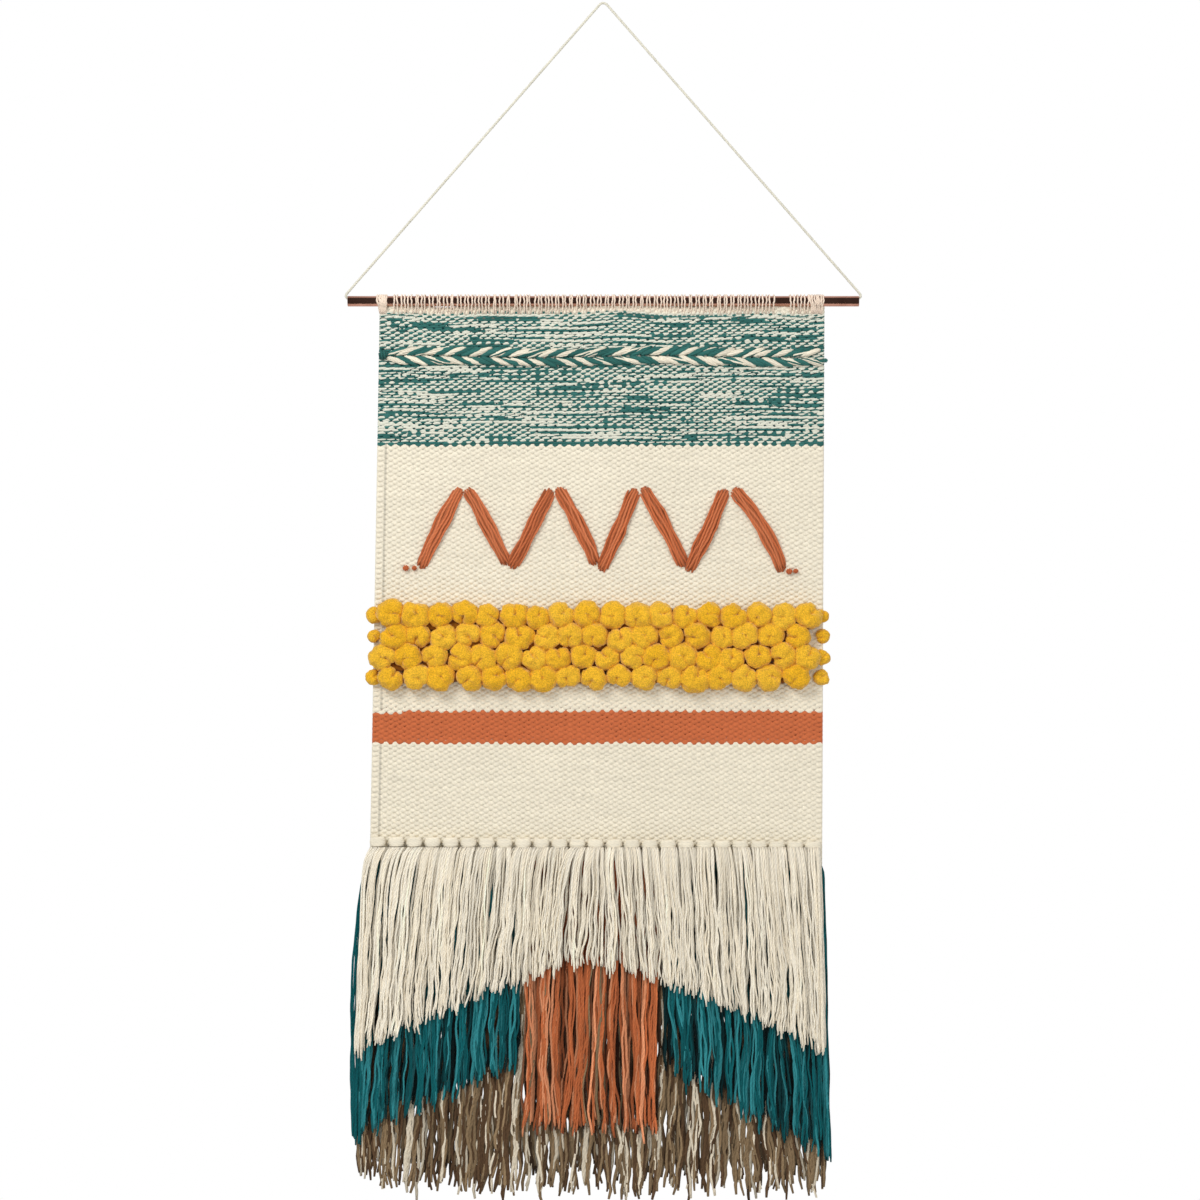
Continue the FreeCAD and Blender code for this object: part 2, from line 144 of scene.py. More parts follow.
def look_at(thing, target):
    """Turns a camera or light so that it faces the target."""
    direction = np.subtract(target, thing.location[:])
    pitch = math.atan2(math.hypot(direction[0], direction[1]), -direction[2])
    thing.rotation_euler = (pitch, 0, math.atan2(direction[1], direction[0]) - math.pi / 2)


def make_camera():
    camera = add_object("camera", bpy.data.cameras.new("camera"))
    camera.data.lens = CAMERA_LENS
    camera.data.sensor_width = SENSOR
    camera.location = CAMERA_PLACE
    camera.rotation_euler = (math.pi / 2, 0, 0)
    scene.camera = camera


def make_light(name, place, size, power):
    light = add_object(name, bpy.data.lights.new(name, "AREA"))
    light.data.size = size
    light.data.energy = power
    light.location = place
    light.visible_glossy = False
    look_at(light, KEY_TARGET)


def make_world():
    """White behind the object, even light on it, and a dark room in front of it for the metal to mirror."""
    world = bpy.data.worlds.new("studio")
    scene.world = world
    world.use_nodes = True
    tree = world.node_tree
    tree.nodes.clear()
    path = add_node(tree, "LightPath")
    seen = add_node(tree, "Background", Color=WHITE)
    light = add_node(tree, "Background", Color=WHITE, Strength=WORLD_LIGHT)
    mirrored = add_node(tree, "Background")
    choice = add_node(tree, "MixShader")
    gloss_choice = add_node(tree, "MixShader")
    place = add_node(tree, "TexCoord")
    parts = add_node(tree, "SeparateXYZ")
    room = add_node(tree, "MapRange", From_Min=DARK_UNTIL, From_Max=LIGHT_FROM, To_Min=DARK_ROOM, To_Max=1.0)
    output = add_node(tree, "OutputWorld")
    connect(place, "Generated", parts, "Vector")
    connect(parts, "Y", room, "Value")
    connect(room, "Result", mirrored, "Strength")
    connect(path, "Is Camera Ray", choice, "Fac")
    connect(path, "Is Glossy Ray", gloss_choice, "Fac")
    connect(light, "Background", gloss_choice, 1)
    connect(mirrored, "Background", gloss_choice, 2)
    connect(gloss_choice, "Shader", choice, 1)
    connect(seen, "Background", choice, 2)
    connect(choice, "Shader", output, "Surface")


def make_floor():
    """A pale disc below the hanging."""
    count = 96
    angles = np.arange(count) * TURN / count
    rim = [(FLOOR_RADIUS * math.cos(a), FLOOR_RADIUS * math.sin(a), FLOOR_Z) for a in angles]
    mesh = bpy.data.meshes.new("studio_floor")
    mesh.from_pydata(rim, [], [tuple(range(count))])
    material, _, shader = add_material("studio_floor")
    set_inputs(shader, Base_Color=(0.86, 0.86, 0.85, 1), Roughness=0.9)
    mesh.materials.append(material)
    floor = add_object("studio_floor", mesh)


make_camera()
make_light("key_light", KEY_PLACE, KEY_SIZE, KEY_POWER)
make_light("fill_light", FILL_PLACE, FILL_SIZE, FILL_POWER)
make_light("rim_light", RIM_PLACE, FILL_SIZE, RIM_POWER)
make_world()
make_floor()
scene.view_settings.view_transform = "Standard"


# -------- smooth random values

noise_grid = default_rng(11).uniform(-1, 1, (32, 32, 32))


def grain(points, size):
    """Smooth noise, -1 to 1, at points in millimetres, with lumps about that size."""
    place = points / size
    cell = np.floor(place).astype(int)
    share = place - cell
    share = share * share * (3 - 2 * share)
    total = 0
    for corner in np.ndindex(2, 2, 2):
        weight = np.prod(np.where(corner, share, 1 - share), axis=-1)
        index = (cell + corner) % len(noise_grid)
        total = total + weight * noise_grid[index[..., 0], index[..., 1], index[..., 2]]
    return total


def wander(along, count, wavelength, rng):
    """Smooth random values, about -1 to 1, one row of them for each of count yarns."""
    total = 0
    for share in (1.0, 0.55, 0.3):
        length = wavelength * share * rng.uniform(0.75, 1.35, (count, 1))
        phase = rng.uniform(0, TURN, (count, 1))
        total = total + share * np.sin(TURN * along / length + phase)
    return total / 1.3


# -------- meshes of many yarns

def unit(vectors):
    return vectors / np.linalg.norm(vectors, axis=-1, keepdims=True)


def length_along(path):
    """How far along its path each point lies."""
    step = np.linalg.norm(np.diff(path, axis=-2), axis=-1)
    return np.concatenate([0 * step[..., :1], np.cumsum(step, axis=-1)], axis=-1)


YARN_STAGGER = 7.3  # so that the plies of yarns side by side don't line up


class YarnMesh:
    """Gathers yarns, each a closed tube, and turns them into one mesh with its colours."""

    def __init__(self):
        self.points, self.colours, self.turns, self.corners, self.sizes = [], [], [], [], []
        self.count = 0

    def add(self, path, across, deep, colour, facing=FRONT, sides=6, lumps=None, rests=None):
        """path is (yarns, points, 3). across and deep are the half sizes beside and towards facing.

        lumps gives each point's swelling, and rests is how far behind the cloth's middle plane it may reach.
        """
        yarns, steps = path.shape[:2]
        tangent = np.gradient(path, axis=1)
        side = unit(np.cross(tangent, facing))
        front = unit(np.cross(side, tangent))
        angle = (np.arange(sides) + 0.5) * TURN / sides
        across = np.broadcast_to(across, (yarns, steps))[..., None, None]
        deep = np.broadcast_to(deep, (yarns, steps))[..., None, None]
        outward = side[:, :, None] * np.cos(angle)[:, None] * across
        outward = outward + front[:, :, None] * np.sin(angle)[:, None] * deep
        ring = path[:, :, None] + outward
        if lumps is not None:
            ring = ring + outward * lumps(ring)[..., None]
        if rests is not None:
            ring[..., 1] = np.minimum(ring[..., 1], drape(ring[..., 0], ring[..., 2]) + rests)
        along = length_along(path) + YARN_STAGGER * np.arange(yarns)[:, None]
        turn = np.stack(np.broadcast_arrays(np.cos(angle), np.sin(angle), along[..., None]), axis=-1)
        colour = np.asarray(colour, float)
        while colour.ndim < 4:
            colour = np.expand_dims(colour, -2)
        index = self.count + np.arange(yarns * steps * sides).reshape(yarns, steps, sides)
        beside = np.roll(index, -1, axis=2)
        walls = np.stack([index[:, :-1], index[:, 1:], beside[:, 1:], beside[:, :-1]], axis=-1)
        caps = np.concatenate([index[:, 0], index[:, -1, ::-1]])
        self.points.append(ring.reshape(-1, 3))
        self.turns.append(turn.reshape(-1, 3))
        self.colours.append(np.broadcast_to(colour, ring.shape).reshape(-1, 3))
        self.corners += [walls.ravel(), caps.ravel()]
        self.sizes += [np.full(walls.size // 4, 4), np.full(2 * yarns, sides)]
        self.count += ring.size // 3

    def build(self, name, material, slot, *nodes, body="panel"):
        """Makes the object, gives it its material, and lets it stand for its CAD nodes. slot is not used."""
        mesh = bpy.data.meshes.new(name)
        corners = np.concatenate(self.corners)
        sizes = np.concatenate(self.sizes)
        mesh.vertices.add(self.count)
        mesh.vertices.foreach_set("co", (np.concatenate(self.points) * MM).astype(np.float32).ravel())
        mesh.loops.add(len(corners))
        mesh.loops.foreach_set("vertex_index", corners.astype(np.int32))
        mesh.polygons.add(len(sizes))
        mesh.polygons.foreach_set("loop_start", (np.cumsum(sizes) - sizes).astype(np.int32))
        mesh.update(calc_edges=True)
        mesh.shade_smooth()
        colours = np.ones((self.count, 4), np.float32)
        colours[:, :3] = np.concatenate(self.colours)
        layer = mesh.attributes.new("yarn_colour", "FLOAT_COLOR", "POINT")
        layer.data.foreach_set("color", colours.ravel())
        layer = mesh.attributes.new("yarn_turn", "FLOAT_VECTOR", "POINT")
        layer.data.foreach_set("vector", np.concatenate(self.turns).astype(np.float32).ravel())
        mesh.materials.append(material)
        thing = add_object(name, mesh)
        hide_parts(*nodes)
        if body:
            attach(thing, body)
        return thing


# -------- materials

def yarn_material(name, lay, plies, twist, fibre, fade, roughness, sheen, grains=2600, speck=0.1):
    """Twisted yarn in the mesh's own colours: plies that wind along it every lay mm, with painted shade in the
    grooves between them, fibres and fading.
    """
    material, tree, shader = add_material(name)

    def math_node(kind, first, second=None):
        node = add_node(tree, "Math")
        node.operation = kind
        for socket, value in zip(node.inputs, (first, second)):
            if hasattr(value, "links"):
                tree.links.new(value, socket)
            elif value is not None:
                socket.default_value = value
        return node.outputs["Value"]

    def plus(first, second):
        return math_node("ADD", first, second)

    def times(first, second):
        return math_node("MULTIPLY", first, second)

    def noise(scale, detail):
        node = add_node(tree, "TexNoise", Scale=scale, Detail=detail)
        connect(place, "Object", node, "Vector")
        return node.outputs["Fac"]

    place = add_node(tree, "TexCoord")
    colour = add_node(tree, "Attribute")
    colour.attribute_name = "yarn_colour"
    turn = add_node(tree, "Attribute")
    turn.attribute_name = "yarn_turn"
    parts = add_node(tree, "SeparateXYZ")
    connect(turn, "Vector", parts, "Vector")
    angle = math_node("ARCTAN2", parts.outputs["Y"], parts.outputs["X"])
    phase = plus(times(angle, float(plies)), times(parts.outputs["Z"], TURN / lay))
    ply = times(math_node("SINE", phase), 0.5)
    fibres = times(math_node("SINE", times(phase, 5.0)), 0.5)
    fuzz, mottle = noise(grains, 3), noise(140, 2)
    height = plus(times(ply, twist), times(fuzz, fibre))
    height = plus(height, times(fibres, 0.25 * fibre))
    bump = add_node(tree, "Bump", Strength=0.8, Distance=MM)
    tree.links.new(height, bump.inputs["Height"])
    connect(bump, "Normal", shader, "Normal")
    # the ply term darkens the grooves between the plies as painted shade; fuzz, speck and mottle are random
    # tone
    shade = plus(times(ply, 0.4 * twist), 1.01 - fade - 0.5 * speck)
    shade = plus(plus(shade, times(fuzz, speck)), times(mottle, 2 * fade))
    tint = add_node(tree, "HueSaturation")
    connect(colour, "Color", tint, "Color")
    tree.links.new(shade, tint.inputs["Value"])
    connect(tint, "Color", shader, "Base Color")
    tree.links.new(plus(times(fuzz, 0.12), roughness), shader.inputs["Roughness"])
    set_inputs(shader, Sheen_Weight=sheen, Sheen_Roughness=0.45, Specular_IOR_Level=0.2)
    return material


def copper_material():
    """Polished copper with fine draw lines and a little tarnish."""
    material, tree, shader = add_material("dark_copper")
    place = add_node(tree, "TexCoord")
    stretch = add_node(tree, "Mapping", Scale=(18, 900, 900))
    connect(place, "Object", stretch, "Vector")
    lines = add_node(tree, "TexNoise", Scale=1.0, Detail=4)
    connect(stretch, "Vector", lines, "Vector")
    tarnish = add_node(tree, "TexNoise", Scale=60)
    connect(place, "Object", tarnish, "Vector")
    colour = add_node(tree, "ValToRGB")
    ramp = colour.color_ramp.elements
    ramp[0].position, ramp[0].color = 0.3, (0.46, 0.215, 0.15, 1)
    ramp[1].position, ramp[1].color = 0.75, (0.68, 0.36, 0.27, 1)
    connect(tarnish, "Fac", colour, "Fac")
    connect(colour, "Color", shader, "Base Color")
    rough = add_node(tree, "MapRange", To_Min=0.12, To_Max=0.24)
    connect(lines, "Fac", rough, "Value")
    connect(rough, "Result", shader, "Roughness")
    bump = add_node(tree, "Bump", Strength=0.12, Distance=0.1 * MM)
    connect(lines, "Fac", bump, "Height")
    connect(bump, "Normal", shader, "Normal")
    set_inputs(shader, Metallic=1)
    return material


cord_yarn = yarn_material("cord_cotton", 5.0, 2, twist=0.1, fibre=0.15, fade=0.05, roughness=0.85, sheen=0.2)
warp_yarn = yarn_material("warp_cotton", 3.2, 2, twist=0.25, fibre=0.25, fade=0.06, roughness=0.8, sheen=0.2)
weft_yarn = yarn_material("weft_wool", 4.5, 2, twist=0.15, fibre=0.3, fade=0.04, roughness=0.85, sheen=0.2)
float_yarn = yarn_material("float_wool", 5.0, 2, twist=0.35, fibre=0.35, fade=0.06, roughness=0.8, sheen=0.06)
fringe_yarn = yarn_material("fringe_cotton", 6.0, 2, twist=0.4, fibre=0.3, fade=0.08, roughness=0.8, sheen=0.03)
felt_yarn = yarn_material("pile_wool", 60.0, 1, twist=0.0, fibre=1.2, fade=0.16, roughness=0.88, sheen=0.3,
                          grains=750, speck=1.5)
copper = copper_material()


# -------- reading the frame

def solids_of(node):
    """The points of each separate solid in a CAD node, from left to right, in millimetres."""
    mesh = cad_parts[node].data
    points = np.empty(len(mesh.vertices) * 3, np.float32)
    mesh.vertices.foreach_get("co", points)
    points = points.reshape(-1, 3).astype(float) / MM
    corners = np.empty(len(mesh.loops), np.int32)
    mesh.loops.foreach_get("vertex_index", corners)
    same = np.unique(np.round(points, 3), axis=0, return_inverse=True)[1].ravel()
    faces = same[corners.reshape(-1, 3)]
    label = np.arange(same.max() + 1)
    while True:
        lowest = label[faces].min(axis=1)
        joined = label.copy()
        for corner in range(3):
            np.minimum.at(joined, faces[:, corner], lowest)
        joined = joined[joined]
        if (joined == label).all():
            break
        label = joined
    group = label[same]
    found = [points[group == g] for g in np.unique(group)]
    return sorted(found, key=lambda solid: solid[:, 0].mean())


def corners_of(solid):
    return solid.min(axis=0), solid.max(axis=0)


def middle(solid):
    return sum(corners_of(solid)) / 2


def box_mm(node):
    low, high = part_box(node)
    return np.array(low) / MM, np.array(high) / MM


# -------- the hanging cord

CORD_DIAMETER = 2.5
CORD_PLIES = 3
CORD_LAY = 7.5
CORD_STEP = 0.9
CORD_EXIT = (-0.004, 0.0, -0.2943)
CORD_ROUTE = [
    CORD_EXIT,
    (-0.2564, 0.0, -0.2943),
    (-0.2579, 0.0, -0.2910),
    (-0.00215, 0.0, 0.00125),
    (0.00215, 0.0, 0.00125),
    (0.2579, 0.0, -0.2910),
    (0.2564, 0.0, -0.2943),
    (0.004, 0.0, -0.2943),
]
CORD_HOLD = 0.006  # how far from a hook or lip the spline has one more point


def cord_line():
    """The cord's centre line as evenly spaced points in millimetres, read from its spline."""
    points = []
    for start, end in zip(CORD_ROUTE, CORD_ROUTE[1:]):
        start, end = np.array(start), np.array(end)
        length = np.linalg.norm(end - start)
        points.append(start)
        if length > 10 * CORD_HOLD:
            step = (end - start) / length * CORD_HOLD
            points += [start + step, end - step]
    points.append(np.array(CORD_ROUTE[-1]))
    curve = bpy.data.curves.new("cord_route", "CURVE")
    curve.dimensions = "3D"
    spline = curve.splines.new("NURBS")
    spline.points.add(len(points) - 1)
    for spot, place in zip(spline.points, points):
        spot.co = (*place, 1)
    spline.order_u = 3
    spline.use_endpoint_u = True
    spline.resolution_u = 64
    route = bpy.data.objects.new("cord_route", curve)
    line = bpy.data.meshes.new_from_object(route)
    dense = np.array([v.co for v in line.vertices]) / MM
    bpy.data.objects.remove(route)
    along = length_along(dense)
    even = np.linspace(0, along[-1], round(along[-1] / CORD_STEP))
    return np.stack([np.interp(even, along, dense[:, k]) for k in range(3)], axis=1), even


def make_cord():
    line, along = cord_line()
    across = np.array([0.0, 1.0, 0.0])
    other = np.cross(unit(np.gradient(line, axis=0)), across)
    ply_radius = 0.3 * CORD_DIAMETER
    offset = 0.54 * CORD_DIAMETER - ply_radius
    angle = TURN * (along / CORD_LAY + np.arange(CORD_PLIES)[:, None] / CORD_PLIES)
    rng = default_rng(21)
    loose = 1 + 0.12 * wander(along, CORD_PLIES, 30, rng)
    winding = np.cos(angle)[..., None] * across + np.sin(angle)[..., None] * other
    path = line + offset * loose[..., None] * winding
    shade = (0.94 + 0.06 * wander(along, CORD_PLIES, 50, rng))[..., None]
    yarns = YarnMesh()
    yarns.add(path, ply_radius, ply_radius, COTTON * shade, facing=winding)
    cord = yarns.build("cord_twisted", cord_yarn, "cord_cotton", "hanging_cord", body="cord")
    knot = make_cord_knot()


def make_cord_knot():
    """The knot that closes the loop, wound turns of the same cord inside the tube."""
    low, high = box_mm("cord_knot")
    centre = (low + high) / 2
    turns = 3.5
    share = np.linspace(0, 1, 90)
    angle = TURN * turns * share
    yarn_radius = 0.85
    ring = (high - low)[2] / 2 - yarn_radius
    path = np.stack([
        low[0] + yarn_radius + share * (high[0] - low[0] - 2 * yarn_radius),
        centre[1] + ring * np.cos(angle),
        centre[2] + ring * np.sin(angle),
    ], axis=1)
    facing = np.stack([np.zeros(90), np.cos(angle), np.sin(angle)], axis=1)
    yarns = YarnMesh()
    yarns.add(path[None], yarn_radius, yarn_radius, COTTON[None], facing=facing[None], sides=8)
    inside = np.array([[low[0] + 0.4, *centre[1:]], centre, [high[0] - 0.4, *centre[1:]]])
    # the core inside the turns is coloured darker, as painted shade
    yarns.add(inside[None], ring - 0.2, ring - 0.2, COTTON_PAINTED_SHADE[None], sides=8)
    return yarns.build("cord_knot_turns", cord_yarn, "cord_cotton", "cord_knot", body="cord")


make_cord()
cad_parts["hanging_tube"].data.materials.clear()
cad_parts["hanging_tube"].data.materials.append(copper)


# -------- the woven panel

PICK_PITCH = 2.55
SINGLE_WARPS = 95
LAST_WARP = SINGLE_WARPS + 1  # warp 0 and the last one are the selvedge bundles
CROSSING_DEPTH = 0.32  # how far a crest of weft stands off the middle of the weave
WEFT_DEEP = 0.85
WEFT_NARROW = 2.1  # half width where the weft passes between two warps
WEFT_CREST = 2.6  # half width where it lies over a warp
WEFT_SLANT = 0.2
MEAN_WIDTH = 448.0
PICKS_A_PIECE = 36  # half as many in the teal band, whose rows have two strands each

HEADING_EXTRA = np.array([4.0, 2.3])  # two more picks, pushed up against the tube
heading_low, heading_high = box_mm("heading_row")
lower_low, lower_high = box_mm("cream_weave_lower")
PANEL_TOP = heading_high[2]
PANEL_BOTTOM = lower_low[2]


def edge(z, upper, lower):
    """Where the line through two corners of the panel lies at height z."""
    share = (z - upper[2]) / (lower[2] - upper[2])
    return upper[0] + share * (lower[0] - upper[0])


def across_panel(warp):
    """Share of the panel's width, 0 to 1, at a warp number, which may lie between two warps."""
    ends = [-0.55, 0, 0.5, 1, SINGLE_WARPS, LAST_WARP - 0.5, LAST_WARP, LAST_WARP + 0.55]
    from_left = [0, 3.2, 6.9, 9.1]
    from_right = [8.6, 6.4, 3.0, 0]
    places = from_left + [MEAN_WIDTH - x for x in from_right]
    return np.interp(warp, ends, places) / MEAN_WIDTH


def panel_x(warp, z):
    width = across_panel(warp)
    return edge(z, heading_low, lower_low) * (1 - width) + edge(z, heading_high, lower_high) * width


def drape(x, z):
    """How far the panel hangs in front of or behind its flat plane."""
    fold = 0.7 * np.sin(x / 71 + 0.8) * np.sin(z / 190 + 0.4)
    return fold + 0.45 * np.sin(x / 33 + z / 140) + 0.3 * np.sin(z / 47 + x / 210)


def beat(x, z):
    """How far a row of weft strays up or down, most under the heading and least at the bottom."""
    below = PANEL_TOP - z
    strong = 0.35 + 1.3 * np.exp(-np.abs(below - 4) / 34)
    wave = np.sin(x / 19.5 + 0.6) + 0.7 * np.sin(x / 41 + 1.9 + below / 90) + 0.5 * np.sin(x / 11.5)
    return strong * wave / 1.6


def surface(x, z, proud):
    """A point on the panel's front, standing that far off its middle plane."""
    return np.stack([x + 0 * z, drape(x, z) - proud + 0 * z, z + 0 * x], axis=-1)


weave_samples = np.concatenate(
    [[-0.55], np.arange(-0.25, LAST_WARP + 0.3, 0.25), [LAST_WARP + 0.55]]
)


def weft(z_rows, parity, rng, lift=0.0, share=1.0):
    """Paths and half sizes of weft rows. lift moves a strand within its row, and share is its width."""
    rows = len(z_rows)
    warp = weave_samples
    z_row = z_rows[:, None]
    x = panel_x(warp, z_row)
    turn = math.pi * (warp + parity[:, None])
    crest = np.cos(turn)
    full = np.abs(crest)
    nearest = np.clip(np.round(warp).astype(int), 0, LAST_WARP)
    bump = 1 + 0.1 * rng.normal(size=(rows, LAST_WARP + 1))[:, nearest]
    column = 1 + 0.12 * default_rng(5).normal(size=LAST_WARP + 1)[nearest]
    half = (WEFT_NARROW + (WEFT_CREST - WEFT_NARROW) * full**0.8) * bump
    height = CROSSING_DEPTH * np.sign(crest) * full**0.7 * bump * column
    z = z_row + beat(x, z_row) + WEFT_SLANT * np.sin(turn) + 0.2 * wander(x, rows, 60, rng)
    z = z + lift * half
    path = np.stack([x, drape(x, z_row) - height, z], axis=-1)
    return path, half * share, full, x


def shaded(colour, full, rng):
    """The colour of each row, darker as painted shade where the yarn dives, and different from bump to bump."""
    rows, steps = full.shape
    speck = 1 + 0.02 * rng.normal(size=(rows, steps))
    return colour * ((0.96 + 0.04 * full) * speck)[..., None]


def rows_of(node, first_pick):
    """The height and the over or under turn of each weft row in a band, and the next band's first row."""
    low, high = box_mm(node)
    count = round((high[2] - low[2]) / PICK_PITCH)
    pitch = (high[2] - low[2]) / count
    number = np.arange(count)
    return high[2] - (number + 0.5) * pitch, (first_pick + number) % 2, first_pick + count


def weave_pieces(name, node, slot, z_rows, parity, strands):
    """Splits a band's rows into pieces. strands gives a piece's paths, sizes and colours."""
    made = []
    picks = PICKS_A_PIECE if node != "teal_weave" else PICKS_A_PIECE / 2
    parts = max(1, math.ceil(len(z_rows) / picks))
    for part, chosen in enumerate(np.array_split(np.arange(len(z_rows)), parts), 1):
        yarns = YarnMesh()
        for path, half, colour in strands(z_rows[chosen], parity[chosen], chosen):
            yarns.add(path, half, WEFT_DEEP, colour)
        label = name if parts == 1 else "%s_%d" % (name, part)
        made.append(yarns.build(label, weft_yarn, slot, node))
    return made


RUST_START = -201  # where the rust band's first row sets in


def plain_band(name, node, slot, colour, first_pick, seed):
    """A band in one colour. The rust band's first row has not reached the left selvedge."""
    z_rows, parity, next_pick = rows_of(node, first_pick)
    rng = default_rng(seed)
    if node == "heading_row":
        z_rows = np.concatenate([z_rows[0] + HEADING_EXTRA, z_rows[:-1]])
        parity = np.concatenate([[parity[0], 1 - parity[0]], parity[:-1]])

    def strands(z, turns, rows):
        path, half, full, x = weft(z, turns, rng)
        tone = shaded(colour * (1 + 0.03 * wander(x, len(z), 160, rng))[..., None], full, rng)
        if slot == "rust_yarn":
            short = (rows[:, None] == 0) & (x < RUST_START)
            tone = np.where(short[..., None], CREAM, tone)
        if slot == "cream_yarn":
            # a darker column, as painted shade in the small gaps between the selvedge bundle and the first warp
            tone = tone * np.where(np.abs(weave_samples - 0.85) < 0.2, 0.7, 1.0)[:, None]
        return [(path, half, tone)]

    return weave_pieces(name, node, slot, z_rows, parity, strands), next_pick


TEAL_SWITCH = 2.2  # how sharply the two strands of a row change places


def mixed_band(name, node, first_pick, seed):
    """The teal and cream band: two strands in each row, which change places and change colour."""
    z_rows, parity, next_pick = rows_of(node, first_pick)
    z_rows, parity = np.append(z_rows[0] + PICK_PITCH, z_rows), np.append(1 - parity[0], parity)
    rng = default_rng(seed)
    count = len(z_rows)
    length = across_panel(weave_samples) * MEAN_WIDTH
    order = 0.8 * wander(length, count, 420, rng) + 0.12 * wander(length, count, 60, rng)
    order = order + 0.9 * np.sin(length / 95 + z_rows[:, None] / 14)
    order = np.tanh(TEAL_SWITCH * order)
    pale = wander(length, count, 300, rng) + 0.25 * wander(length, count, 40, rng) > -0.8
    dyed = wander(length, count, 260, rng) + 0.25 * wander(length, count, 45, rng) > 0.9
    pale[-1], dyed[-1] = False, False
    dyed[0] = np.cos(math.pi * (weave_samples + parity[0])) < 0.2
    pale[0] = True

    def strands(z, turns, rows):
        made = []
        for which, light in ((1, pale), (-1, dyed)):
            lift = which * 0.46 * order[rows]
            path, half, full, x = weft(z, turns, rng, lift, 0.56 if which > 0 else 0.5)
            teal = TEAL + (TEAL_LIGHT - TEAL) * (0.5 + 0.5 * wander(x, len(z), 90, rng))[..., None]
            tone = np.where(light[rows][..., None], CREAM_COOL, teal)
            made.append((path, half, shaded(tone, full, rng)))
        return made

    return weave_pieces(name, node, "teal_yarn", z_rows, parity, strands), next_pick


def make_ground():
    """The warps inside the weave, as one ribbed sheet that the weft closes over."""
    warp = np.concatenate([[-0.4], np.arange(0, LAST_WARP + 0.1, 0.5), [LAST_WARP + 0.4]])
    levels = np.linspace(PANEL_TOP - 1, PANEL_BOTTOM + 1, 72)
    z = levels[:, None]
    x = panel_x(warp, z)
    thick = 0.22 + 0.4 * np.cos(math.pi * warp) ** 2 + 0 * z
    thick[:, [0, -1]] = 0.3
    front, back = surface(x, z, thick), surface(x, z, -thick)
    rows, columns = x.shape
    index = np.arange(rows * columns).reshape(rows, columns)
    rim = np.concatenate([index[0], index[1:, -1], index[-1, -2::-1], index[-2:0:-1, 0]])
    beside = np.roll(rim, -1)
    near = np.stack([index[:-1, :-1], index[1:, :-1], index[1:, 1:], index[:-1, 1:]], axis=-1)
    far = near[..., ::-1] + rows * columns
    edge = np.stack([rim, beside, beside + rows * columns, rim + rows * columns], axis=-1)
    faces = np.concatenate([near.reshape(-1, 4), far.reshape(-1, 4), edge])
    points = np.concatenate([front.reshape(-1, 3), back.reshape(-1, 3)])
    ground = YarnMesh()
    ground.points, ground.count = [points], len(points)
    ground.corners, ground.sizes = [faces.ravel()], [np.full(len(faces), 4)]
    ground.turns = [np.stack([0 * points[:, 0], 0 * points[:, 0] + 1, points[:, 2]], axis=1)]
    # Painted shade: the warps show only in the gaps of the weave, so the sheet is coloured darker cream, and
    # dark teal and dark brown in those bands, for the shade there.
    tone = np.tile(CREAM * 0.88, (len(points), 1))
    for node, colour in (("teal_weave", TEAL_GAP_SHADE), ("rust_weave_stripe", RUST_GAP_SHADE)):
        low, high = box_mm(node)
        tone[(points[:, 2] > low[2]) & (points[:, 2] < high[2])] = colour
    ground.colours = [tone]
    return ground.build("warp_sheet", warp_yarn, "warp_cotton", "warp_threads", "selvedge_warps_left",
                        "selvedge_warps_right")


def make_weave():
    pieces, pick = plain_band("heading_weft", "heading_row", "cream_yarn", CREAM, 0, 31)
    more, pick = mixed_band("teal_weft", "teal_weave", pick, 32)
    pieces += more
    bands = (
        ("cream_weft_upper", "cream_weave_upper", "cream_yarn", CREAM, 33),
        ("rust_weft", "rust_weave_stripe", "rust_yarn", RUST, 34),
        ("cream_weft_lower", "cream_weave_lower", "cream_yarn", CREAM, 35),
    )
    for name, node, slot, colour, seed in bands:
        more, pick = plain_band(name, node, slot, colour, pick, seed)
        pieces += more
    return pieces


weave = make_weave()
ground = make_ground()


# -------- warp loops over the tube

LOOP_YARN = 0.8
LOOP_CLEAR = 0.15
LOOP_PITCH = 3.5
BARE_GAP = (171.5, 184.5)
LEFT_BUNDLE = ((-226.5, -216.3), (-222.8, -217.6), 11)
RIGHT_BUNDLE = ((205.5, 219.5), (210.5, 218.6), 13)
tube_low, tube_high = box_mm("hanging_tube")
TUBE_Z = (tube_low[2] + tube_high[2]) / 2
LOOP_RING = (tube_high[2] - tube_low[2]) / 2 + LOOP_YARN + LOOP_CLEAR


